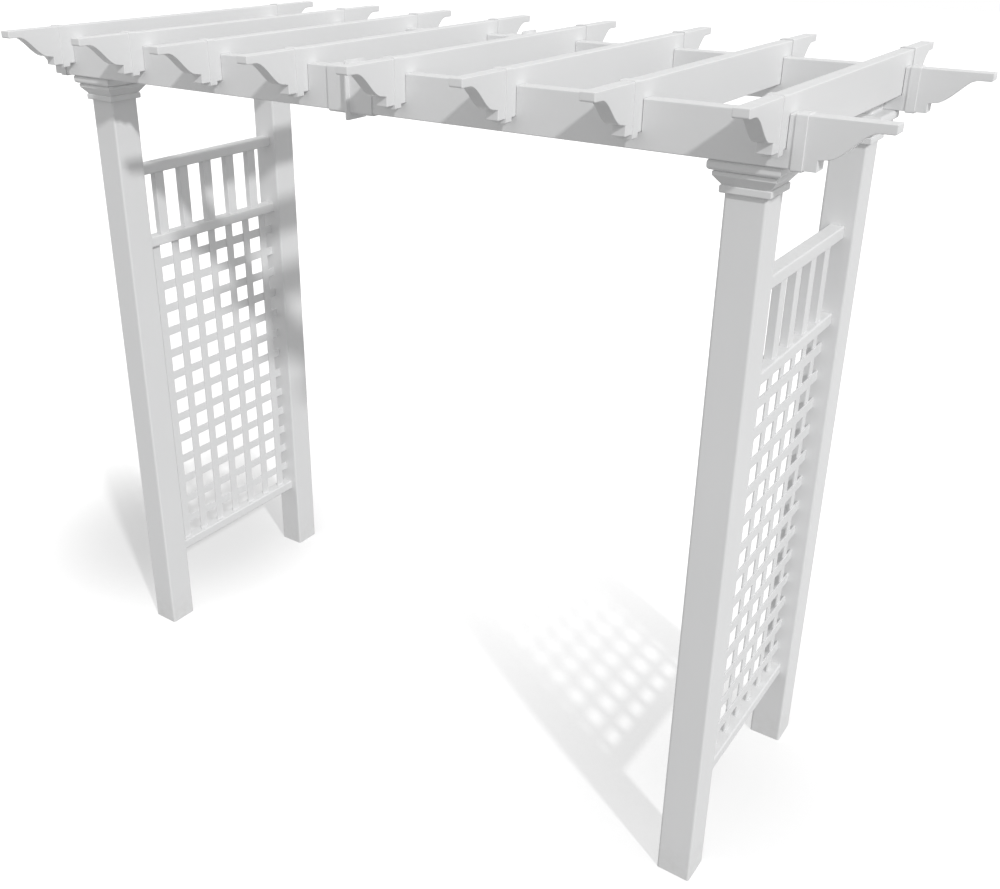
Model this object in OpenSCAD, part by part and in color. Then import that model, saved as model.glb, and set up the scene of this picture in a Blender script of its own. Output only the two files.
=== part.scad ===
// Garden arbor in white hollow vinyl: four posts, two beams, eight rafters and two lattice sides.
// X runs along the beams, Y along the rafters, Z up. The origin is on the ground, mid-footprint.

/* [Footprint and height] */
// Distance between post centres along the beams
span_x = 2211; // [1700:1:2800]
// Distance between post centres along the rafters
span_y = 735; // [560:1:1100]
// Height of the beams' underside, where the capitals end
beam_z = 2119; // [2060:1:2400]

/* [Posts] */
// Width of the square post
post_w = 101.6; // [90:0.2:127]
// Wall of the post
post_wall = 3.8; // [2.5:0.1:6]
// Corner radius of the post
post_r = 7; // [4.5:0.5:12]

/* [Beams and rafters] */
// Thickness of the beams
bar_t = 43; // [34:0.5:60]
// Thickness of the rafters
rafter_t = 37; // [30:0.5:56]
// Height of the beams and rafters
bar_h = 115.2; // [90:0.2:160]
// Wall of the hollow beams and rafters
bar_wall = 2.8; // [2:0.1:4]
// Edge radius of the beams and rafters
bar_r = 3; // [1:0.5:6]
// Height of the rafters' underside above the beams' underside
rafter_lift = 40.8; // [30:0.2:60]
// Number of rafters
rafter_count = 8; // [4:1:10]
// Gap between the outer face of a post and the rafter at that end
rafter_set = 4; // [0:0.5:10]
// Play between a rafter and each side of its slot in the beam
slot_gap = 1.5; // [0.5:0.5:8]
// Length of the beam from the post centre to the tip of its scroll
beam_overhang = 313; // [290:1:420]
// Length of the rafter from the beam's outer face to the tip of its scroll
rafter_overhang = 228; // [215:1:320]

/* [Scroll ends] */
// Length of a scroll end from its tip to the far edge of its collar
scroll_len = 206; // [190:1:215]
// Wall of the scroll end
scroll_wall = 2.6; // [1.6:0.1:4]
// Height of the scroll's tip
tip_h = 21.4; // [16:0.2:40]
// Length of the level underside behind the tip
nose_len = 32; // [20:1:50]
// Distance from the tip to the foot of the long curve
curve_end = 135; // [110:1:140]
// Height of the foot of the long curve above the bar's underside
heel_rise = 28; // [22:0.5:36]
// Distance from the tip to the square tooth
tooth_start = 150; // [140:1:155]
// Size of the small slants under the tip and before the tooth
tip_slant = 3; // [1:0.5:4]
// Width of the collar that takes the end of the bar
collar_w = 25; // [18:1:32]
// How far the collar stands proud of the bar's sides and top
collar_proud = 3; // [2:0.5:6]
// Corner radius of the collar
collar_r = 4; // [1:0.5:6]
// How far a rafter's collar hangs below the bar
rafter_lip = 10.5; // [3:0.5:16]
// How far a beam's collar hangs below the bar
beam_lip = 4; // [3:0.5:16]

/* [Beam couplers] */
// Length of the sleeve over the joint in the middle of a beam
sleeve_len = 150; // [90:1:200]
// How far the sleeve stands proud of the beam
sleeve_proud = 5; // [3:0.5:8]
// How far the flange in the middle of the sleeve stands proud of the beam
flange_proud = 20.5; // [10:0.5:30]
// Thickness of the flange
flange_t = 4; // [3:0.5:8]

/* [Capitals] */
// Height of the capital
capital_h = 79; // [66:1:110]
// How far the top slab stands out from the post
slab_proud = 34.5; // [30:0.5:42]
// Height of the top slab
slab_h = 26; // [19:0.5:30]
// Radius of the top slab's rounded edge
slab_nose = 9; // [3:0.5:9]
// How far the middle band stands out from the post
band_proud = 24; // [16:0.5:28]
// Height of the middle band
band_h = 12; // [7:0.5:16]
// How far the foot band stands out from the post
foot_proud = 9.8; // [7:0.2:14]
// Height of the foot band
foot_h = 18; // [8:0.5:22]
// Radius of the edges of the middle and foot bands
band_nose = 3; // [1:0.5:3.5]
// Width of the groove between the top slab and the middle band
groove_w = 2; // [1:0.5:4]

/* [Side panels] */
// Height of the top face of the top rail
top_rail_z = 1809; // [1700:1:1900]
// Height of the top face of the middle rail
mid_rail_z = 1551; // [1400:1:1620]
// Height of the top face of the bottom rail
bottom_rail_z = 308; // [120:1:400]
// Width of a rail across the panel
rail_w = 44; // [38:0.5:56]
// Height of a rail
rail_h = 37; // [30:0.5:50]
// Wall of a rail
rail_wall = 2.5; // [2:0.1:4]
// Edge radius of a rail
rail_r = 5; // [1:0.5:8]
// How far a rail reaches into the post
rail_reach = 22; // [12:1:30]
// Number of spindles in a panel
spindle_count = 5; // [3:1:7]
// Width of a spindle along the panel
spindle_w = 40; // [20:0.5:45]
// Depth of a spindle across the panel
spindle_t = 24; // [16:0.5:28]
// Wall of a spindle
spindle_wall = 1.8; // [1.2:0.1:3]
// Edge radius of a spindle
spindle_r = 2.5; // [1:0.5:5]
// Number of upright lattice strips in a panel
upright_count = 7; // [3:1:7]
// Number of level lattice strips in a panel
cross_count = 13; // [6:1:16]
// Distance between the centres of two upright strips
upright_pitch = 88.5; // [60:0.5:92]
// Width of a lattice strip
strip_w = 32; // [20:0.5:42]
// Thickness of a lattice strip
strip_t = 5; // [3:0.5:8]
// How far spindles and upright strips reach into the rails
rail_seat = 9; // [5:0.5:14]

/* [Hardware] */
// Outer diameter of the steel ground pipe that each post drops over
pipe_d = 41.3; // [25:0.1:60.3]
// Play between the pipe and the bore of its guide, all round
pipe_fit = 0.35; // [0.2:0.05:1]
// Height of a pipe guide
guide_h = 20; // [10:1:60]
// Height of the pipe guide's underside above the ground
guide_z = 6; // [2:1:60]
// Wall of the aluminium stiffener inside a beam
stiffener_wall = 2.5; // [1.5:0.1:3]
// Diameter of a screw's shank
screw_d = 5; // [4:0.1:6]
// Diameter of a screw's head
screw_head_d = 10; // [8:0.1:13]
// Height of a screw's head
screw_head_h = 3; // [2:0.1:4]
// Half the distance between the two screws in a post
screw_spread = 24; // [10:1:30]
// Length of a screw past the last wall that it passes
screw_tail = 4; // [2:0.5:8]

/* [Fits] */
// Play all round where one moulded piece slides over another
sleeve_fit = 0.3; // [0.1:0.05:0.6]
// Play all round a screw's shank
screw_fit = 0.2; // [0.1:0.05:0.5]
// Gap between the two halves of a beam
joint_gap = 0.6; // [0.2:0.1:2]

/* [Hidden] */
vinyl = "#ebecec";
alloy = "#b9bcc0";
zinc = "#a9adb2";

// Straight pieces in a quarter turn and in a scroll's long curve
corner_steps = 6;
curve_steps = 16;
// How far behind the foot band's edge the sloping face of a capital ends
slope_tuck = 1;
// How far a cutting shape runs past the face that it cuts
cut = 1;

post_x = span_x / 2;
post_y = span_y / 2;
post_top = beam_z + rafter_lift;
post_inner = post_w - 2 * post_wall;
beam_y = post_y + post_w / 2 + bar_t / 2;
beam_tip = post_x + beam_overhang;
rafter_z = beam_z + rafter_lift;
rafter_end_x = post_x + post_w / 2 + rafter_set + rafter_t / 2;
rafter_pitch = 2 * rafter_end_x / (rafter_count - 1);
rafter_tip = beam_y + bar_t / 2 + rafter_overhang;

collar_start = scroll_len - collar_w;
shoulder = 2;
bar_inset = collar_start + shoulder;

stiffener_t = bar_t - 2 * bar_wall - 2 * sleeve_fit;
stiffener_h = rafter_lift - bar_wall;
stiffener_half = beam_tip - bar_inset - 2 * shoulder;

panel_gap = span_y - post_w;
mid_rail_under = mid_rail_z - rail_h;
spindle_pitch = (panel_gap + spindle_w) / (spindle_count + 1);
cross_gap = (mid_rail_under - bottom_rail_z - cross_count * strip_w) / (cross_count + 1);
cross_pitch = strip_w + cross_gap;

sides = [["left", -1], ["right", 1]];
rows = [["front", -1], ["rear", 1]];
rail_names = [["top_rail", top_rail_z], ["mid_rail", mid_rail_z], ["bottom_rail", bottom_rail_z]];
rafters = [for (i = [1 : rafter_count]) i];

function side_nodes(name) = [for (r = rows) for (s = sides) str(r[0], "_", s[0], "_", name)];

function rafter_x(i) = (i - (rafter_count + 1) / 2) * rafter_pitch;

function arc(x, y, r, from, to, steps) =
    [for (k = [0 : steps]) let (a = from + (to - from) * k / steps) [x + r * cos(a), y + r * sin(a)]];

// Outline of a rectangle with rounded corners, centred
function rounded(w, h, r) = concat(
    arc(w / 2 - r, h / 2 - r, r, 0, 90, corner_steps),
    arc(r - w / 2, h / 2 - r, r, 90, 180, corner_steps),
    arc(r - w / 2, r - h / 2, r, 180, 270, corner_steps),
    arc(w / 2 - r, r - h / 2, r, 270, 360, corner_steps));

function tube_bore_r(r, wall) = max(r - wall, 0.6);

module tube_outline(w, h, wall, r) {
    difference() {
        polygon(rounded(w, h, r));
        polygon(rounded(w - 2 * wall, h - 2 * wall, tube_bore_r(r, wall)));
    }
}

// Extrudes a section in Y and Z along X
module along_x(from, to) {
    translate([from, 0, 0]) rotate([90, 0, 90]) linear_extrude(to - from) children();
}

// Extrudes a section in X and Z along Y
module along_y(from, to) {
    translate([0, to, 0]) rotate([90, 0, 0]) linear_extrude(to - from) children();
}

module place(x, y) {
    translate([x, y, 0]) children();
}

// A screw with its head on the plane z = 0, its shank pointing down
module screw(shank) {
    cylinder(h = screw_head_h, d = screw_head_d, $fn = 32);
    translate([0, 0, -shank]) cylinder(h = shank + screw_head_h / 2, d = screw_d, $fn = 32);
}

module screw_hole(shank) {
    translate([0, 0, -shank]) cylinder(h = shank, d = screw_d + 2 * screw_fit, $fn = 32);
}

// Places a copy at each screw that ties a post to its beam, shank towards +Y
module at_post_screws() {
    for (x = [-screw_spread, screw_spread])
        translate([x, post_inner / 2, beam_z + rafter_lift / 2]) rotate([-90, 0, 0]) mirror([0, 0, 1])
            children();
}

module post(x_side, y_side) {
    rail_hole_w = rail_w + 2 * sleeve_fit;
    rail_hole_h = rail_h + 2 * sleeve_fit;
    color(vinyl) place(x_side * post_x, y_side * post_y) mirror([0, y_side < 0 ? 1 : 0, 0])
        difference() {
            linear_extrude(post_top) tube_outline(post_w, post_w, post_wall, post_r);
            for (rail = rail_names)
                translate([0, 0, rail[1] - rail_h / 2]) along_y(-post_w / 2 - cut, -post_inner / 2 + cut)
                    polygon(rounded(rail_hole_w, rail_hole_h, rail_r));
            at_post_screws() screw_hole(post_wall + cut);
        }
}

// Half of the capital's moulded outline, from the foot band up to the slab. The face that slopes
// in from the middle band ends behind the foot band's edge.
function capital_side(face) =
    let (
        slab_edge = face + slab_proud - slab_nose,
        band_edge = face + band_proud - band_nose,
        foot_edge = face + foot_proud - band_nose,
        slab_low = capital_h - slab_h,
        band_top = slab_low - groove_w,
        band_low = band_top - band_h)
    concat(
        arc(foot_edge, band_nose, band_nose, -90, 0, 4),
        arc(foot_edge, foot_h - band_nose, band_nose, 0, 90, 4),
        [[foot_edge - slope_tuck, foot_h]],
        arc(band_edge, band_low + band_nose, band_nose, -45, 0, 3),
        arc(band_edge, band_top - band_nose, band_nose, 0, 90, 4),
        [[band_edge, slab_low]],
        arc(slab_edge, slab_low + slab_nose, slab_nose, -90, 0, 6),
        arc(slab_edge, capital_h - slab_nose, slab_nose, 0, 90, 6));

module capital_section() {
    side = capital_side(post_w / 2);
    far_side = [for (k = [len(side) - 1 : -1 : 0]) [-side[k][0], side[k][1]]];
    polygon(concat(side, far_side));
}

module capital(x_side, y_side) {
    reach = post_w / 2 + slab_proud + cut;
    bore_w = post_w + 2 * sleeve_fit;
    color(vinyl) place(x_side * post_x, y_side * post_y) translate([0, 0, beam_z - capital_h])
        difference() {
            intersection() {
                along_x(-reach, reach) capital_section();
                along_y(-reach, reach) capital_section();
            }
            translate([0, 0, -cut]) linear_extrude(capital_h + 2 * cut)
                polygon(rounded(bore_w, bore_w, post_r));
        }
}

module bar_section(t) {
    tube_outline(t, bar_h, bar_wall, bar_r);
}

module beam(x_side, y_side) {
    color(vinyl) mirror([x_side < 0 ? 1 : 0, 0, 0]) mirror([0, y_side < 0 ? 1 : 0, 0])
        difference() {
            translate([0, beam_y, beam_z + bar_h / 2]) along_x(joint_gap / 2, beam_tip - bar_inset)
                bar_section(bar_t);
            for (i = rafters)
                if (rafter_x(i) > 0) beam_slot(rafter_x(i));
            place(post_x, post_y) at_post_screws() screw_hole(post_wall + bar_wall + cut);
        }
}

// The slot that a rafter drops into, open at the top of the beam
module beam_slot(x) {
    slot_w = rafter_t + 2 * slot_gap;
    translate([x - slot_w / 2, beam_y - bar_t / 2 - cut, rafter_z])
        cube([slot_w, bar_t + 2 * cut, bar_h]);
}

module stiffener(y_side) {
    color(alloy) mirror([0, y_side < 0 ? 1 : 0, 0])
        difference() {
            translate([0, beam_y, beam_z + bar_wall + stiffener_h / 2])
                along_x(-stiffener_half, stiffener_half)
                    tube_outline(stiffener_t, stiffener_h, stiffener_wall, stiffener_wall);
            for (x = [-post_x, post_x])
                place(x, post_y) at_post_screws()
                    screw_hole(post_wall + bar_wall + sleeve_fit + stiffener_wall + cut);
            for (i = rafters)
                translate([rafter_x(i), beam_y, rafter_z + cut]) screw_hole(stiffener_wall + 2 * cut);
        }
}

module coupler(y_side) {
    bore_t = bar_t + 2 * sleeve_fit;
    bore_h = bar_h + 2 * sleeve_fit;
    outer_t = bar_t + 2 * sleeve_proud;
    outer_h = bar_h + 2 * sleeve_proud;
    color(vinyl) translate([0, y_side * beam_y, beam_z + bar_h / 2])
        difference() {
            union() {
                along_x(-sleeve_len / 2, sleeve_len / 2)
                    polygon(rounded(outer_t, outer_h, bar_r + sleeve_proud));
                along_x(-flange_t / 2, flange_t / 2)
                    polygon(rounded(bar_t + 2 * flange_proud, bar_h + 2 * flange_proud, 2 * bar_r));
            }
            along_x(-sleeve_len, sleeve_len) polygon(rounded(bore_t, bore_h, bar_r));
        }
}

module rafter(i) {
    color(vinyl) translate([rafter_x(i), 0, 0])
        difference() {
            translate([0, 0, rafter_z + bar_h / 2]) along_y(bar_inset - rafter_tip, rafter_tip - bar_inset)
                bar_section(rafter_t);
            for (y = [-beam_y, beam_y])
                translate([0, y, rafter_z + bar_wall + cut]) screw_hole(bar_wall + 2 * cut);
        }
}

// Side view of a scroll end: x runs from the tip to the bar, y up from the bar's underside.
// The inset outline of its hollow is moved along as well as up, so the wall holds on the slope.
function scroll_outline(inset, length) =
    let (
        nose_z = bar_h - tip_h + inset,
        drop = bar_h - tip_h - heel_rise,
        curve_len = curve_end - nose_len,
        slope = atan(drop / curve_len),
        shift = inset * tan(slope / 2))
    concat(
        [[inset, bar_h - inset], [inset, nose_z + tip_slant - inset / 2], [inset + tip_slant, nose_z]],
        [for (k = [0 : curve_steps])
            let (t = k / curve_steps)
            [nose_len + shift + t * curve_len, nose_z - drop * (1 - cos(180 * t)) / 2]],
        [[tooth_start + inset, heel_rise - tip_slant + inset], [tooth_start + inset, inset]],
        [[length, inset], [length, bar_h - inset]]);

// A scroll end for a bar of thickness t, with its tip at the origin and the bar along +X
module scroll_end(t, lip) {
    collar_h = bar_h + collar_proud + lip;
    collar_t = t + 2 * collar_proud;
    rotate([90, 0, 0])
        difference() {
            union() {
                intersection() {
                    linear_extrude(t, center = true) polygon(scroll_outline(0, collar_start + cut));
                    translate([0, bar_h / 2, 0]) rotate([0, 90, 0]) linear_extrude(scroll_len)
                        polygon(rounded(t, bar_h, bar_r));
                }
                intersection() {
                    translate([collar_start + collar_w / 2, (bar_h + collar_proud - lip) / 2, 0])
                        linear_extrude(collar_t, center = true)
                            polygon(rounded(collar_w, collar_h, collar_r));
                    translate([collar_start + collar_w / 2, bar_h + collar_proud, 0]) rotate([90, 0, 0])
                        linear_extrude(collar_h) polygon(rounded(collar_w, collar_t, collar_r));
                }
            }
            linear_extrude(t - 2 * scroll_wall, center = true)
                polygon(scroll_outline(scroll_wall, bar_inset + cut));
            translate([bar_inset, bar_h / 2, 0]) rotate([0, 90, 0]) linear_extrude(collar_w)
                polygon(rounded(t + 2 * sleeve_fit, bar_h + 2 * sleeve_fit, bar_r));
        }
}

module beam_scroll(x_side, y_side) {
    color(vinyl) mirror([x_side < 0 ? 1 : 0, 0, 0])
        translate([beam_tip, y_side * beam_y, beam_z]) mirror([1, 0, 0]) scroll_end(bar_t, beam_lip);
}

module rafter_scroll(y_side, i) {
    color(vinyl) translate([rafter_x(i), y_side * rafter_tip, rafter_z])
        rotate([0, 0, -90 * y_side]) scroll_end(rafter_t, rafter_lip);
}

// A spindle's or strip's seat in the rail at z, cut through the wall that it enters
module rail_seats(z, count, pitch, across, along, x = 0) {
    for (k = [1 : count])
        translate([x, (k - (count + 1) / 2) * pitch, z])
            cube([across + 2 * sleeve_fit, along + 2 * sleeve_fit, 2 * rail_wall + 2 * cut], center = true);
}

module spindle_seats(z) {
    rail_seats(z, spindle_count, spindle_pitch, spindle_t, spindle_w);
}

module upright_seats(x_side, z) {
    rail_seats(z, upright_count, upright_pitch, strip_t, strip_w, -x_side * strip_t / 2);
}

module rail(x_side, z) {
    half = panel_gap / 2 + rail_reach;
    color(vinyl) translate([x_side * post_x, 0, 0])
        difference() {
            translate([0, 0, z - rail_h / 2]) along_y(-half, half)
                tube_outline(rail_w, rail_h, rail_wall, rail_r);
            if (z == top_rail_z) spindle_seats(z - rail_h);
            if (z == mid_rail_z) spindle_seats(z);
            if (z == mid_rail_z) upright_seats(x_side, z - rail_h);
            if (z == bottom_rail_z) upright_seats(x_side, z);
        }
}

module spindles(x_side) {
    z = mid_rail_z - rail_seat;
    length = top_rail_z - rail_h + rail_seat - z;
    color(vinyl)
        for (k = [1 : spindle_count])
            translate([x_side * post_x, (k - (spindle_count + 1) / 2) * spindle_pitch, z])
                linear_extrude(length) tube_outline(spindle_t, spindle_w, spindle_wall, spindle_r);
}

// The upright strips lie on the inner side of the panel's middle plane, the level strips outside
module lattice_uprights(x_side) {
    z = bottom_rail_z - rail_seat;
    length = mid_rail_under + rail_seat - z;
    color(vinyl)
        for (k = [1 : upright_count])
            translate([
                x_side * (post_x - strip_t / 2) - strip_t / 2,
                (k - (upright_count + 1) / 2) * upright_pitch - strip_w / 2,
                z])
                cube([strip_t, strip_w, length]);
}

module lattice_crosspieces(x_side) {
    length = panel_gap - 2 * sleeve_fit;
    color(vinyl)
        for (k = [1 : cross_count])
            translate([
                x_side * (post_x + strip_t / 2) - strip_t / 2,
                -length / 2,
                bottom_rail_z + k * cross_pitch - strip_w])
                cube([strip_t, length, strip_w]);
}

module pipe_guides() {
    block_w = post_inner - 2 * sleeve_fit;
    color(vinyl)
        for (x = [-post_x, post_x], y = [-post_y, post_y])
            translate([x, y, guide_z])
                difference() {
                    linear_extrude(guide_h) polygon(rounded(block_w, block_w, post_r - post_wall));
                    translate([0, 0, -cut])
                        cylinder(h = guide_h + 2 * cut, d = pipe_d + 2 * pipe_fit, $fn = 64);
                }
}

module post_screws() {
    shank = post_wall + bar_wall + sleeve_fit + stiffener_wall + screw_tail;
    color(zinc)
        for (x = [-post_x, post_x], y_side = [-1, 1])
            mirror([0, y_side < 0 ? 1 : 0, 0]) place(x, post_y) at_post_screws() screw(shank);
}

module rafter_screws() {
    shank = bar_wall + stiffener_wall + screw_tail;
    color(zinc)
        for (i = rafters, y = [-beam_y, beam_y])
            translate([rafter_x(i), y, rafter_z + bar_wall]) screw(shank);
}

for (r = rows, s = sides) {
    post(s[1], r[1]);
    capital(s[1], r[1]);
    beam(s[1], r[1]);
    beam_scroll(s[1], r[1]);
}
for (r = rows) {
    coupler(r[1]);
    stiffener(r[1]);
}
for (i = rafters) {
    rafter(i);
}
for (r = rows, i = rafters) {
    rafter_scroll(r[1], i);
}
for (s = sides, n = rail_names) {
    rail(s[1], n[1]);
}
for (s = sides) {
    spindles(s[1]);
    lattice_uprights(s[1]);
    lattice_crosspieces(s[1]);
}
pipe_guides();
post_screws();
rafter_screws();
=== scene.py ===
import math
import bmesh
import bpy
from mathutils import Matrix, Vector


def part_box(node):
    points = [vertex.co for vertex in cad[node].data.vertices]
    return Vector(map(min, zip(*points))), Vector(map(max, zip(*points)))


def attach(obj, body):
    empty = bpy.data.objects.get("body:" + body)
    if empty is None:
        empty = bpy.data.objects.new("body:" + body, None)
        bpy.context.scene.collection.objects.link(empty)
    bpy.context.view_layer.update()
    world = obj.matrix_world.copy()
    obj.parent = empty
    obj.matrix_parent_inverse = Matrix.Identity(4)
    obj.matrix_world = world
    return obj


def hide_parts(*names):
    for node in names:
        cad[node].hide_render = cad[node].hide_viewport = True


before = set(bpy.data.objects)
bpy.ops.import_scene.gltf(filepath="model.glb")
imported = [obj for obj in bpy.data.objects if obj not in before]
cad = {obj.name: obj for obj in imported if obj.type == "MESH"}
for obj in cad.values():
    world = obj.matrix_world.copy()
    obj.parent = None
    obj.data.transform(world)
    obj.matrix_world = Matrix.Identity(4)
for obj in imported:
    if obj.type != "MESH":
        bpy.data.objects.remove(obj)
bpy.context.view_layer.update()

scene = bpy.context.scene
bpy.ops.object.select_all(action="DESELECT")

# Camera
# It stands in front of the arbor's right side, above head height, and looks down along the beams.
# The arbor's middle lies a little left of the frame's middle, which the small shift takes up.
camera_place = Vector((1.9841, -2.7802, 2.6385))
camera_turn = math.radians(35.37)
camera_dip = math.radians(23.74)
camera_roll = math.radians(-0.05)
picture_width = 1000.0
focal_pixels = 1110.1
shift_right = 0.0466
shift_down = 0.0550

camera_data = bpy.data.cameras.new("photo_camera")
camera_data.sensor_width = 36.0
camera_data.lens = camera_data.sensor_width * focal_pixels / picture_width
camera_data.shift_x = shift_right
camera_data.shift_y = -shift_down
camera = bpy.data.objects.new("photo_camera", camera_data)
camera.location = camera_place
camera.rotation_euler = (math.pi / 2 - camera_dip, camera_roll, camera_turn)
scene.collection.objects.link(camera)
scene.camera = camera
scene.view_settings.view_transform = "Standard"


# Light
# One hard lamp from the right and a little in front gives the clear shadows, and an even pale sky
# fills them. The camera and the reflections see the sky as plain white.
def add_node(tree, kind, inputs=None, **settings):
    made = tree.nodes.new(kind)
    for name, value in settings.items():
        setattr(made, name, value)
    for name, value in (inputs or {}).items():
        if isinstance(value, bpy.types.NodeSocket):
            tree.links.new(value, made.inputs[name])
        else:
            made.inputs[name].default_value = value
    return made


def seen_directly(tree):
    path = add_node(tree, "ShaderNodeLightPath")
    straight = add_node(tree, "ShaderNodeMath", {
        0: path.outputs["Is Camera Ray"], 1: path.outputs["Is Glossy Ray"]},
        operation="ADD", use_clamp=True)
    return add_node(tree, "ShaderNodeMath", {
        0: straight.outputs[0], 1: path.outputs["Is Transmission Ray"]},
        operation="ADD", use_clamp=True).outputs[0]


def add_sun(name, direction, energy, spread):
    data = bpy.data.lights.new(name, "SUN")
    data.energy = energy
    data.angle = math.radians(spread)
    lamp = bpy.data.objects.new(name, data)
    lamp.rotation_euler = Vector(direction).to_track_quat("Z", "Y").to_euler()
    scene.collection.objects.link(lamp)


white = (1.0, 1.0, 1.0, 1.0)
sky_level = 0.62
key_direction, key_energy, key_spread = (1.0, -0.545, 0.81), 1.58, 2.8
add_sun("key_light", key_direction, key_energy, key_spread)

world = bpy.data.worlds.new("sky")
scene.world = world
world.use_nodes = True
sky = world.node_tree
sky.nodes.clear()
sky_light = add_node(sky, "ShaderNodeBackground", {"Color": white, "Strength": sky_level})
sky_seen = add_node(sky, "ShaderNodeBackground", {"Color": white, "Strength": 1.0})
sky_mix = add_node(sky, "ShaderNodeMixShader", {
    "Fac": seen_directly(sky), 1: sky_light.outputs[0], 2: sky_seen.outputs[0]})
add_node(sky, "ShaderNodeOutputWorld", {"Surface": sky_mix.outputs[0]})

# Floor
# A plain pale ground that the arbor stands on. A glow that only the camera and reflections see
# grows with the distance from each side, so that the shadows fade out there, as in the photo.
# Close to each side the glow is weaker, most of all at the left side, so the floor there is painted
# darker even where the lamp reaches it: a painted shade around the feet.
floor_bounce = (0.30, 0.30, 0.30, 1.0)
floor_seen = (0.60, 0.60, 0.60, 1.0)
ground_size = 60.0
right_middle, left_middle = (1.0, 0.05, 0.0), (-1.55, 0.12, 0.0)
right_reach, left_shade_core, left_reach = 1.6, 0.2, 1.1
right_lift, left_lift, far_lift = 0.38, 0.27, 0.74
bpy.ops.mesh.primitive_plane_add(size=ground_size)
floor = bpy.context.object
floor.name = "ground"
floor_finish = bpy.data.materials.new("pale_ground")
floor_finish.use_nodes = True
ground = floor_finish.node_tree
ground_shader = ground.nodes["Principled BSDF"]
ground_shader.inputs["Roughness"].default_value = 0.9
ground_shader.inputs["Specular IOR Level"].default_value = 0.1
ground_shader.inputs["Emission Color"].default_value = white
ground_place = add_node(ground, "ShaderNodeTexCoord").outputs["Object"]
from_right = add_node(ground, "ShaderNodeVectorMath", {0: ground_place, 1: right_middle},
                      operation="DISTANCE")
from_left = add_node(ground, "ShaderNodeVectorMath", {0: ground_place, 1: left_middle},
                     operation="DISTANCE")
right_fade = add_node(ground, "ShaderNodeMapRange", {
    "Value": from_right.outputs["Value"], "From Max": right_reach, "To Min": right_lift,
    "To Max": far_lift})
left_fade = add_node(ground, "ShaderNodeMapRange", {
    "Value": from_left.outputs["Value"], "From Min": left_shade_core, "From Max": left_reach,
    "To Min": left_lift, "To Max": far_lift}, interpolation_type="SMOOTHSTEP")
lift = add_node(ground, "ShaderNodeMath", {
    0: right_fade.outputs[0], 1: left_fade.outputs[0]}, operation="MINIMUM")
straight_on = seen_directly(ground)
ground_glow = add_node(ground, "ShaderNodeMath", {0: straight_on, 1: lift.outputs[0]},
                       operation="MULTIPLY")
ground_tone = add_node(ground, "ShaderNodeMix", {
    "Factor": straight_on, 6: floor_bounce, 7: floor_seen}, data_type="RGBA")
ground.links.new(ground_tone.outputs[2], ground_shader.inputs["Base Color"])
ground.links.new(ground_glow.outputs[0], ground_shader.inputs["Emission Strength"])
floor.data.materials.append(floor_finish)


# Pipe guides
# A square block of matt moulded plastic sits inside the foot of each post. Its bore slides over a
# steel pipe that is driven into the ground, which keeps the post upright.
def start_group(name, takes, gives):
    group = bpy.data.node_groups.new(name, "ShaderNodeTree")
    for label, kind in takes:
        group.interface.new_socket(label, in_out="INPUT", socket_type=kind)
    for label, kind in gives:
        group.interface.new_socket(label, in_out="OUTPUT", socket_type=kind)
    return group, group.nodes.new("NodeGroupInput").outputs


def start_finish(name, roughness_low, metallic=0.0, ior=1.5, specular=0.5):
    finish = bpy.data.materials.new(name)
    finish.use_nodes = True
    tree = finish.node_tree
    shader = tree.nodes["Principled BSDF"]
    shader.inputs["Metallic"].default_value = metallic
    shader.inputs["IOR"].default_value = ior
    shader.inputs["Specular IOR Level"].default_value = specular
    shader.inputs["Roughness"].default_value = roughness_low
    place = add_node(tree, "ShaderNodeTexCoord").outputs["Object"]
    return finish, tree, shader, place


def use_group(tree, group, inputs):
    return add_node(tree, "ShaderNodeGroup", inputs, node_tree=group).outputs


def dress(names, finish):
    for name in names:
        for slot in cad[name].material_slots:
            slot.material = finish


# A fine even grain, such as a mould leaves: a value about 0.5 and the same as a height.
grain, taken = start_group("moulded_grain", [
    ("Place", "NodeSocketVector"), ("Grains per metre", "NodeSocketFloat")],
    [("Height", "NodeSocketFloat")])
grain_noise = add_node(grain, "ShaderNodeTexNoise", {
    "Vector": taken["Place"], "Scale": taken["Grains per metre"], "Detail": 2.0, "Roughness": 0.55})
add_node(grain, "NodeGroupOutput", {"Height": grain_noise.outputs["Fac"]})

guide_finish, tree, shader, place = start_finish("guide_plastic", 0.62, ior=1.5)
guide_grain = use_group(tree, grain, {"Place": place, "Grains per metre": 420.0})
guide_tone = add_node(tree, "ShaderNodeMix", {
    "Factor": guide_grain["Height"], 6: (0.78, 0.78, 0.77, 1.0), 7: (0.86, 0.86, 0.85, 1.0)},
    data_type="RGBA")
guide_rough = add_node(tree, "ShaderNodeMapRange", {
    "Value": guide_grain["Height"], "To Min": 0.55, "To Max": 0.72})
guide_bump = add_node(tree, "ShaderNodeBump", {
    "Strength": 0.5, "Distance": 0.0002, "Height": guide_grain["Height"]})
tree.links.new(guide_tone.outputs[2], shader.inputs["Base Color"])
tree.links.new(guide_rough.outputs[0], shader.inputs["Roughness"])
tree.links.new(guide_bump.outputs[0], shader.inputs["Normal"])
dress(["pipe_guides"], guide_finish)

# Posts
# Four square tubes of white vinyl with rounded corners, drawn through a die in one long length and
# cut off square. Holes are routed in their inner faces for the side rails.
sides = ["left", "right"]
rows = ["front", "rear"]


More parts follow.
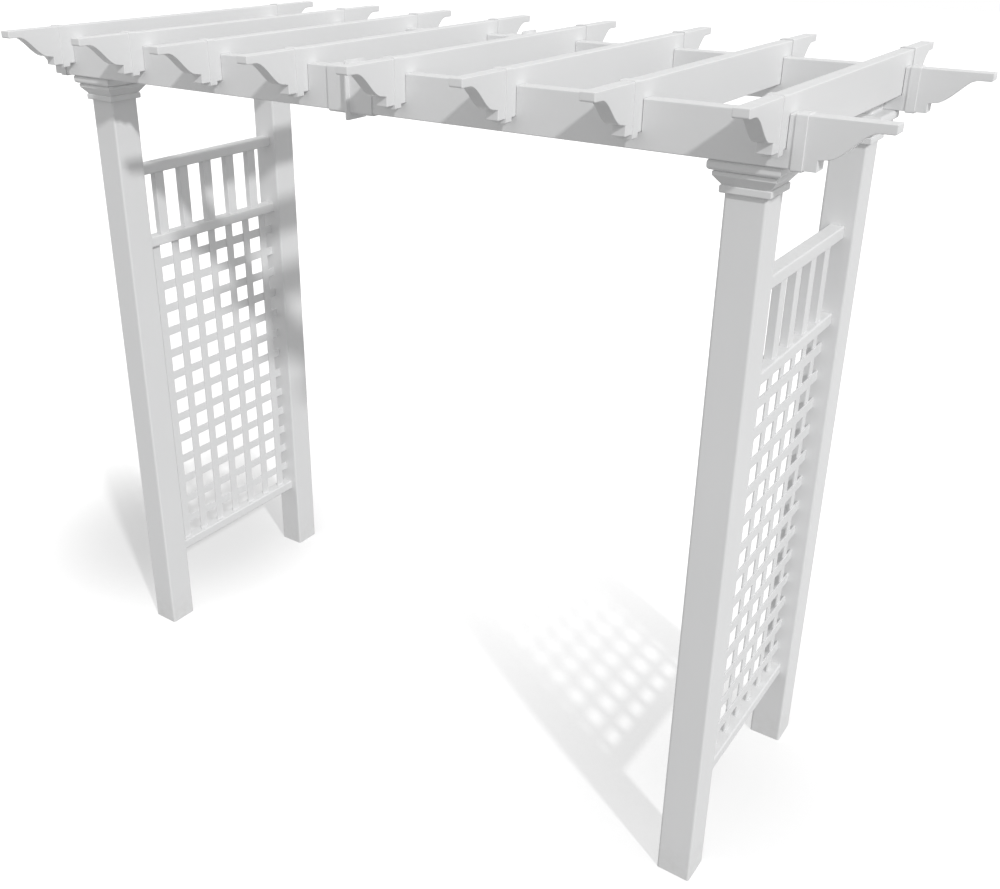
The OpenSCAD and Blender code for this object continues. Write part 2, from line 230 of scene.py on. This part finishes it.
# Faint straight lines that the die leaves along a drawn piece, and the slow unevenness of its
# faces. Squeeze is small along the draw and large across it.
die_lines, taken = start_group("die_lines", [
    ("Place", "NodeSocketVector"), ("Squeeze", "NodeSocketVector")],
    [("Lines", "NodeSocketFloat"), ("Swell", "NodeSocketFloat")])
line_place = add_node(die_lines, "ShaderNodeVectorMath", {
    0: taken["Place"], 1: taken["Squeeze"]}, operation="MULTIPLY")
line_noise = add_node(die_lines, "ShaderNodeTexNoise", {
    "Vector": line_place.outputs[0], "Scale": 260.0, "Detail": 3.0, "Roughness": 0.6})
swell_noise = add_node(die_lines, "ShaderNodeTexNoise", {
    "Vector": line_place.outputs[0], "Scale": 9.0, "Detail": 1.0})
add_node(die_lines, "NodeGroupOutput", {
    "Lines": line_noise.outputs["Fac"], "Swell": swell_noise.outputs["Fac"]})

# A thin film of dust on faces that look up and splash marks close to the ground, both broken up
# by blotches, over a tone that drifts very slightly along the piece.
weather, taken = start_group("weather", [
    ("Place", "NodeSocketVector"), ("Clean", "NodeSocketColor"), ("Dust", "NodeSocketColor"),
    ("Amount", "NodeSocketFloat"), ("Splash height", "NodeSocketFloat")],
    [("Color", "NodeSocketColor"), ("Dusty", "NodeSocketFloat")])
height = add_node(weather, "ShaderNodeSeparateXYZ", {0: taken["Place"]}).outputs["Z"]
splash = add_node(weather, "ShaderNodeMapRange", {
    "Value": height, "From Max": taken["Splash height"], "To Min": 1.0, "To Max": 0.0},
    interpolation_type="SMOOTHSTEP")
facing = add_node(weather, "ShaderNodeNewGeometry").outputs["Normal"]
upward = add_node(weather, "ShaderNodeSeparateXYZ", {0: facing}).outputs["Z"]
level = add_node(weather, "ShaderNodeMapRange", {
    "Value": upward, "From Min": 0.6, "From Max": 0.98, "To Max": 0.45},
    interpolation_type="SMOOTHSTEP")
either = add_node(weather, "ShaderNodeMath", {0: splash.outputs[0], 1: level.outputs[0]},
                  operation="MAXIMUM")
blotch = add_node(weather, "ShaderNodeTexNoise", {
    "Vector": taken["Place"], "Scale": 34.0, "Detail": 5.0, "Roughness": 0.65})
blotch_cut = add_node(weather, "ShaderNodeMapRange", {
    "Value": blotch.outputs["Fac"], "From Min": 0.35, "From Max": 0.7})
dusty = add_node(weather, "ShaderNodeMath", {0: either.outputs[0], 1: blotch_cut.outputs[0]},
                 operation="MULTIPLY")
film = add_node(weather, "ShaderNodeMath", {0: dusty.outputs[0], 1: taken["Amount"]},
                operation="MULTIPLY", use_clamp=True)
drift = add_node(weather, "ShaderNodeTexNoise", {
    "Vector": taken["Place"], "Scale": 2.5, "Detail": 2.0})
drift_tone = add_node(weather, "ShaderNodeMapRange", {
    "Value": drift.outputs["Fac"], "From Min": 0.3, "From Max": 0.7, "To Min": 0.978})
toned = add_node(weather, "ShaderNodeVectorMath", {
    0: taken["Clean"], "Scale": drift_tone.outputs[0]}, operation="SCALE")
dusted = add_node(weather, "ShaderNodeMix", {
    "Factor": film.outputs[0], 6: toned.outputs[0], 7: taken["Dust"]}, data_type="RGBA")
add_node(weather, "NodeGroupOutput", {"Color": dusted.outputs[2], "Dusty": film.outputs[0]})

vinyl_colour = (0.84, 0.843, 0.846, 1.0)
dust_colour = (0.60, 0.585, 0.56, 1.0)
dust_amount, splash_high = 0.22, 0.16
vinyl_ior = 1.53
vinyl_specular = 0.3


def drawn_vinyl(name, squeeze):
    finish, tree, shader, place = start_finish(name, 0.5, ior=vinyl_ior, specular=vinyl_specular)
    lines = use_group(tree, die_lines, {"Place": place, "Squeeze": squeeze})
    aged = use_group(tree, weather, {
        "Place": place, "Clean": vinyl_colour, "Dust": dust_colour, "Amount": dust_amount,
        "Splash height": splash_high})
    sheen = add_node(tree, "ShaderNodeMapRange", {
        "Value": lines["Lines"], "From Min": 0.3, "From Max": 0.7, "To Min": 0.46, "To Max": 0.54})
    rough = add_node(tree, "ShaderNodeMath", {
        0: aged["Dusty"], 1: 0.5, 2: sheen.outputs[0]}, operation="MULTIPLY_ADD")
    swell = add_node(tree, "ShaderNodeBump", {
        "Strength": 0.35, "Distance": 0.004, "Height": lines["Swell"]})
    fine = add_node(tree, "ShaderNodeBump", {
        "Strength": 0.25, "Distance": 0.0001, "Height": lines["Lines"],
        "Normal": swell.outputs[0]})
    tree.links.new(aged["Color"], shader.inputs["Base Color"])
    tree.links.new(rough.outputs[0], shader.inputs["Roughness"])
    tree.links.new(fine.outputs[0], shader.inputs["Normal"])
    return finish


upright_vinyl = drawn_vinyl("vinyl_drawn_upright", (1.0, 1.0, 0.01))
dress([f"{row}_{side}_post" for row in rows for side in sides], upright_vinyl)

# Side rails and spindles
# Three hollow vinyl rails on each side reach into the posts, and five hollow spindles stand between
# the upper two, pushed into holes in the rails.
across_vinyl = drawn_vinyl("vinyl_drawn_across", (1.0, 0.01, 1.0))
dress([f"{side}_{rail}_rail" for side in sides for rail in ["top", "mid", "bottom"]], across_vinyl)
dress([f"{side}_spindles" for side in sides], upright_vinyl)

# Lattice
# Flat vinyl strips with eased edges: seven uprights on the inner side of each panel, seated in the
# rails, and thirteen level ones welded to their outer faces where they cross.
strip_width = 0.032
upright_pitch = 0.0885
strip_edge = 0.0009
upright_count, level_count = 7, 13


def add_block(name, low, high):
    bpy.ops.object.select_all(action="DESELECT")
    low, high = Vector(low), Vector(high)
    bpy.ops.mesh.primitive_cube_add(size=1.0, location=(low + high) / 2, scale=high - low)
    bpy.ops.object.transform_apply(location=True, rotation=True, scale=True)
    bpy.context.object.name = name
    return bpy.context.object


def work_on(piece):
    bpy.ops.object.select_all(action="DESELECT")
    piece.select_set(True)
    bpy.context.view_layer.objects.active = piece


def apply_modifier(piece, kind, **settings):
    work_on(piece)
    added = piece.modifiers.new(kind.lower(), kind)
    for name, value in settings.items():
        setattr(added, name, value)
    bpy.ops.object.modifier_apply(modifier=added.name)


def soften(piece, width, segments=3, sharp=35.0):
    apply_modifier(piece, "BEVEL", width=width, segments=segments, limit_method="ANGLE",
                   angle_limit=math.radians(sharp))
    bpy.ops.object.shade_smooth_by_angle(angle=math.radians(sharp))
    apply_modifier(piece, "WEIGHTED_NORMAL", keep_sharp=True)


def hand_over(piece, node_name, finish):
    piece.name = node_name + "_dressed"
    piece.data.materials.clear()
    piece.data.materials.append(finish)
    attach(piece, "root")
    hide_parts(node_name)


def lay_strips(node_name, finish, step, count, strip_size):
    low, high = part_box(node_name)
    strip = add_block(node_name, low, Vector(low) + Vector(strip_size))
    soften(strip, strip_edge, segments=2)
    apply_modifier(strip, "ARRAY", count=count, use_relative_offset=False,
                   use_constant_offset=True, constant_offset_displace=step)
    hand_over(strip, node_name, finish)


for side in sides:
    uprights = f"{side}_lattice_uprights"
    low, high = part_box(uprights)
    lay_strips(uprights, upright_vinyl, (0.0, upright_pitch, 0.0), upright_count,
               (high[0] - low[0], strip_width, high[2] - low[2]))
    levels = f"{side}_lattice_crosspieces"
    low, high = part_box(levels)
    level_pitch = (high[2] - low[2] - strip_width) / (level_count - 1)
    lay_strips(levels, across_vinyl, (0.0, 0.0, level_pitch), level_count,
               (high[0] - low[0], high[1] - low[1], strip_width))

# Capitals
# A moulded vinyl collar around the head of each post: a foot band, a slope out to a middle band,
# a groove, and a thick top slab with a rounded edge, right under the beams.
post_half = 0.0508
bore_half = post_half + 0.0003
bore_round = 0.007


def quarter(proud, up, radius, start, end, steps):
    return [(proud + radius * math.cos(math.radians(start + (end - start) * k / steps)),
             up + radius * math.sin(math.radians(start + (end - start) * k / steps)))
            for k in range(steps + 1)]


capital_outline = (
    quarter(0.0068, 0.003, 0.003, -90, 0, 5) + quarter(0.0068, 0.015, 0.003, 0, 90, 5)
    + [(0.0058, 0.018)]
    + quarter(0.021, 0.042, 0.003, -45, 0, 4) + quarter(0.021, 0.048, 0.003, 0, 90, 5)
    + [(0.021, 0.053)]
    + quarter(0.0255, 0.062, 0.009, -90, 0, 9) + quarter(0.0255, 0.070, 0.009, 0, 90, 9))


def pick(kind, wanted, within_selection=False):
    shape = bmesh.from_edit_mesh(bpy.context.object.data)
    items = {"VERT": shape.verts, "EDGE": shape.edges, "FACE": shape.faces}[kind]
    chosen = [item for item in items
              if wanted(item) and (item.select or not within_selection)]
    bpy.ops.mesh.select_all(action="DESELECT")
    bpy.ops.mesh.select_mode(type=kind)
    shape = bmesh.from_edit_mesh(bpy.context.object.data)
    for item in chosen:
        item.select_set(True)
    shape.select_flush_mode()
    bmesh.update_edit_mesh(bpy.context.object.data)


def push_out(shift):
    bpy.ops.mesh.extrude_region_move(TRANSFORM_OT_translate={"value": shift})


def widen(factors, centre):
    bpy.ops.transform.resize(value=factors, center_override=centre)


def close_edit():
    bpy.ops.mesh.select_all(action="SELECT")
    bpy.ops.mesh.remove_doubles(threshold=1e-6)
    bpy.ops.mesh.normals_make_consistent(inside=False)
    bpy.ops.object.mode_set(mode="OBJECT")


def copy_to(master, node_name, place, turn=0.0):
    work_on(master)
    bpy.ops.object.duplicate()
    made = bpy.context.object
    made.location = place
    made.rotation_euler = (0.0, 0.0, turn)
    bpy.ops.object.transform_apply(location=True, rotation=True, scale=True)
    return made


bpy.ops.object.select_all(action="DESELECT")
bpy.ops.mesh.primitive_plane_add(size=2 * (post_half + capital_outline[0][0]))
capital_master = bpy.context.object
bpy.ops.object.mode_set(mode="EDIT")
bpy.ops.mesh.select_all(action="SELECT")
reach, level_now = post_half + capital_outline[0][0], 0.0
for proud, up in capital_outline[1:] + [(bore_half - post_half, capital_outline[-1][1])]:
    push_out((0.0, 0.0, up - level_now))
    factor = (post_half + proud) / reach
    widen((factor, factor, 1.0), (0.0, 0.0, up))
    reach, level_now = post_half + proud, up
push_out((0.0, 0.0, -level_now))
pick("EDGE", lambda edge: abs(edge.verts[0].co.z - edge.verts[1].co.z) > 0.5 * level_now
     and abs(abs(edge.verts[0].co.x) - bore_half) < 1e-5)
bpy.ops.mesh.bevel(offset=bore_round, segments=6, affect="EDGES")
pick("FACE", lambda face: abs(face.calc_center_median().z) < 1e-6 and abs(face.normal.z) > 0.9)
bpy.ops.mesh.delete(type="FACE")
pick("EDGE", lambda edge: edge.is_boundary)
bpy.ops.mesh.bridge_edge_loops()
close_edit()
soften(capital_master, 0.0008, segments=2, sharp=40.0)


# Moulded pieces are a little glossier than drawn ones, with a fine orange peel.
def moulded_vinyl(name):
    finish, tree, shader, place = start_finish(name, 0.45, ior=vinyl_ior, specular=vinyl_specular)
    peel = use_group(tree, grain, {"Place": place, "Grains per metre": 260.0})
    aged = use_group(tree, weather, {
        "Place": place, "Clean": vinyl_colour, "Dust": dust_colour, "Amount": dust_amount,
        "Splash height": splash_high})
    sheen = add_node(tree, "ShaderNodeMapRange", {
        "Value": peel["Height"], "From Min": 0.3, "From Max": 0.7, "To Min": 0.40, "To Max": 0.49})
    rough = add_node(tree, "ShaderNodeMath", {
        0: aged["Dusty"], 1: 0.5, 2: sheen.outputs[0]}, operation="MULTIPLY_ADD")
    bump = add_node(tree, "ShaderNodeBump", {
        "Strength": 0.3, "Distance": 0.00012, "Height": peel["Height"]})
    tree.links.new(aged["Color"], shader.inputs["Base Color"])
    tree.links.new(rough.outputs[0], shader.inputs["Roughness"])
    tree.links.new(bump.outputs[0], shader.inputs["Normal"])
    return finish


mould_vinyl = moulded_vinyl("vinyl_moulded")
for row in rows:
    for side in sides:
        name = f"{row}_{side}_capital"
        low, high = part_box(name)
        capital = copy_to(capital_master, name, ((low[0] + high[0]) / 2, (low[1] + high[1]) / 2,
                                                 low[2]))
        hand_over(capital, name, mould_vinyl)
bpy.data.objects.remove(capital_master)

# Beams
# A hollow vinyl beam runs along the outer faces of the posts at the front and at the rear, in two
# halves, with slots cut in its top for the rafters. A hollow aluminium bar inside each one takes
# the screws that come through the post from within.
along_vinyl = drawn_vinyl("vinyl_drawn_along", (0.01, 1.0, 1.0))
dress([f"{row}_{side}_beam" for row in rows for side in sides], along_vinyl)


def bare_metal(name, colour_low, colour_high, rough_low, rough_high, squeeze, blotches):
    finish, tree, shader, place = start_finish(name, rough_low, metallic=1.0)
    lines = use_group(tree, die_lines, {"Place": place, "Squeeze": squeeze})
    cloud = use_group(tree, grain, {"Place": place, "Grains per metre": blotches})
    blend = add_node(tree, "ShaderNodeMath", {
        0: lines["Lines"], 1: cloud["Height"]}, operation="MULTIPLY")
    spread = add_node(tree, "ShaderNodeMapRange", {
        "Value": blend.outputs[0], "From Min": 0.12, "From Max": 0.4})
    tone = add_node(tree, "ShaderNodeMix", {
        "Factor": spread.outputs[0], 6: colour_low, 7: colour_high}, data_type="RGBA")
    rough = add_node(tree, "ShaderNodeMapRange", {
        "Value": spread.outputs[0], "To Min": rough_high, "To Max": rough_low})
    bump = add_node(tree, "ShaderNodeBump", {
        "Strength": 0.3, "Distance": 0.00005, "Height": lines["Lines"]})
    tree.links.new(tone.outputs[2], shader.inputs["Base Color"])
    tree.links.new(rough.outputs[0], shader.inputs["Roughness"])
    tree.links.new(bump.outputs[0], shader.inputs["Normal"])
    return finish


mill_alloy = bare_metal("mill_aluminium", (0.66, 0.67, 0.69, 1.0), (0.78, 0.79, 0.80, 1.0),
                        0.28, 0.42, (0.01, 1.0, 1.0), 18.0)
zinc_plate = bare_metal("zinc_plated_steel", (0.58, 0.60, 0.62, 1.0), (0.74, 0.76, 0.77, 1.0),
                        0.22, 0.38, (1.0, 1.0, 1.0), 320.0)
dress([f"{row}_stiffener" for row in rows], mill_alloy)
dress(["post_screws", "rafter_screws"], zinc_plate)

# Beam couplers
# A moulded vinyl sleeve over the joint in the middle of each beam, with a thin square flange
# around its middle. The two halves of the beam are cemented into it.
sleeve_proud = 0.005
flange_reach = 0.0155
flange_half = 0.002
sleeve_wall = 0.0047
sleeve_round = 0.008
flange_round = 0.006


def corner_edges(reach_y, reach_z):
    def wanted(edge):
        a, b = edge.verts[0].co, edge.verts[1].co
        return (abs(a.x - b.x) > 1e-4 and abs(a.y - b.y) < 1e-6 and abs(a.z - b.z) < 1e-6
                and abs(abs(a.y - middle.y) - reach_y) < 1e-5
                and abs(abs(a.z - middle.z) - reach_z) < 1e-5)
    return wanted


for row in rows:
    name = f"{row}_coupler"
    low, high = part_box(name)
    middle = (Vector(low) + Vector(high)) / 2
    half = (Vector(high) - Vector(low)) / 2
    half.y -= flange_reach
    half.z -= flange_reach
    coupler = add_block(name, middle - half, middle + half)
    bpy.ops.object.mode_set(mode="EDIT")
    for x in [-flange_half, flange_half]:
        bpy.ops.mesh.select_all(action="SELECT")
        bpy.ops.mesh.bisect(plane_co=(middle.x + x, 0.0, 0.0), plane_no=(1.0, 0.0, 0.0))
    pick("FACE", lambda face: abs(face.calc_center_median().x - middle.x) < 1e-4)
    bpy.ops.mesh.extrude_region_shrink_fatten(
        TRANSFORM_OT_shrink_fatten={"value": flange_reach, "use_even_offset": True})
    pick("EDGE", corner_edges(half.y + flange_reach, half.z + flange_reach))
    bpy.ops.mesh.bevel(offset=flange_round, segments=5, affect="EDGES")
    pick("FACE", lambda face: abs(face.normal.x) > 0.9
         and abs(abs(face.calc_center_median().x - middle.x) - half.x) < 1e-5)
    bpy.ops.mesh.inset(thickness=sleeve_wall, use_individual=True)
    bpy.ops.mesh.delete(type="FACE")
    pick("EDGE", lambda edge: edge.is_boundary)
    bpy.ops.mesh.bridge_edge_loops()
    pick("EDGE", corner_edges(half.y, half.z))
    bpy.ops.mesh.bevel(offset=sleeve_round, segments=6, affect="EDGES")
    close_edit()
    soften(coupler, 0.0007, segments=2, sharp=40.0)
    hand_over(coupler, name, mould_vinyl)

# Rafters
# Eight hollow vinyl rafters lie across the two beams, dropped into the slots and held by a screw
# at each crossing.
dress([f"rafter_{i}" for i in range(1, 9)], across_vinyl)

# Scroll ends
# Each beam and rafter ends in a moulded vinyl scroll: a level nose, a long curve down to a narrow
# heel, a square tooth and a collar that the bar is cemented into. Those of the beams are a little
# thicker, and their collars hang less far below the bar.
bar_high = 0.1152
scroll_long = 0.206
nose_low = bar_high - 0.0214
nose_long = 0.032
curve_end = 0.135
heel = 0.028
tooth_start = 0.150
slant = 0.003
collar_start = 0.181
collar_proud = 0.003
mouth_deep = 0.023
fit = 0.0003
curve_steps = 20
scroll_edge = 0.0020


def scroll_end(name, thick, lip):
    underside = [(0.0, nose_low + slant), (slant, nose_low)]
    for k in range(curve_steps + 1):
        t = k / curve_steps
        underside.append((nose_long + t * (curve_end - nose_long),
                          nose_low - (nose_low - heel) * (1 - math.cos(math.pi * t)) / 2))
    step_low = heel - slant
    scroll = add_block(name, (0.0, -thick / 2, step_low), (scroll_long, thick / 2, bar_high))
    bpy.ops.object.mode_set(mode="EDIT")
    for x in [x for x, z in underside[1:]] + [tooth_start, collar_start]:
        bpy.ops.mesh.select_all(action="SELECT")
        bpy.ops.mesh.bisect(plane_co=(x, 0.0, 0.0), plane_no=(1.0, 0.0, 0.0))
    for x, z in underside:
        pick("VERT", lambda vert: abs(vert.co.x - x) < 1e-5 and vert.co.z < step_low + 1e-5)
        bpy.ops.transform.translate(value=(0.0, 0.0, z - step_low))
    pick("FACE", lambda face: face.normal.z < -0.9 and face.calc_center_median().x > tooth_start)
    push_out((0.0, 0.0, -step_low))
    pick("EDGE", lambda edge: edge.calc_face_angle(0.0) > math.radians(40)
         and (edge.verts[0].co.x + edge.verts[1].co.x) / 2 < scroll_long - 1e-5)
    bpy.ops.mesh.bevel(offset=scroll_edge, segments=3, affect="EDGES", clamp_overlap=True)
    pick("FACE", lambda face: face.calc_center_median().x > collar_start
         and abs(face.normal.x) < 0.5)
    bpy.ops.mesh.extrude_region_shrink_fatten(
        TRANSFORM_OT_shrink_fatten={"value": collar_proud, "use_even_offset": True})
    pick("VERT", lambda vert: vert.co.z < 0.5 * slant, within_selection=True)
    bpy.ops.transform.translate(value=(0.0, 0.0, collar_proud - lip))
    pick("FACE", lambda face: face.normal.x > 0.9
         and abs(face.calc_center_median().x - scroll_long) < 1e-5
         and abs(face.calc_center_median().y) < thick / 2 - 0.002
         and 0.0 < face.calc_center_median().z < bar_high)
    widen((1.0, 1.0 + 2 * fit / thick, 1.0 + 2 * fit / bar_high),
          (scroll_long, 0.0, bar_high / 2))
    push_out((-mouth_deep, 0.0, 0.0))
    close_edit()
    soften(scroll, 0.0008, segments=2, sharp=40.0)
    return scroll


rafter_lip = 0.0105
beam_lip = 0.004
rafter_scroll = scroll_end("rafter_scroll_master", 0.037, rafter_lip)
beam_scroll = scroll_end("beam_scroll_master", 0.043, beam_lip)
for i in range(1, 9):
    for row, turn in [("front", math.pi / 2), ("rear", -math.pi / 2)]:
        name = f"{row}_rafter_scroll_{i}"
        low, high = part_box(name)
        tip_y = low[1] if row == "front" else high[1]
        made = copy_to(rafter_scroll, name, ((low[0] + high[0]) / 2, tip_y, low[2] + rafter_lip),
                       turn)
        hand_over(made, name, mould_vinyl)
for side, turn in [("left", 0.0), ("right", math.pi)]:
    for row in rows:
        name = f"{row}_{side}_beam_scroll"
        low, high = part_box(name)
        tip_x = low[0] if side == "left" else high[0]
        made = copy_to(beam_scroll, name, (tip_x, (low[1] + high[1]) / 2, low[2] + beam_lip), turn)
        hand_over(made, name, mould_vinyl)
bpy.data.objects.remove(rafter_scroll)
bpy.data.objects.remove(beam_scroll)
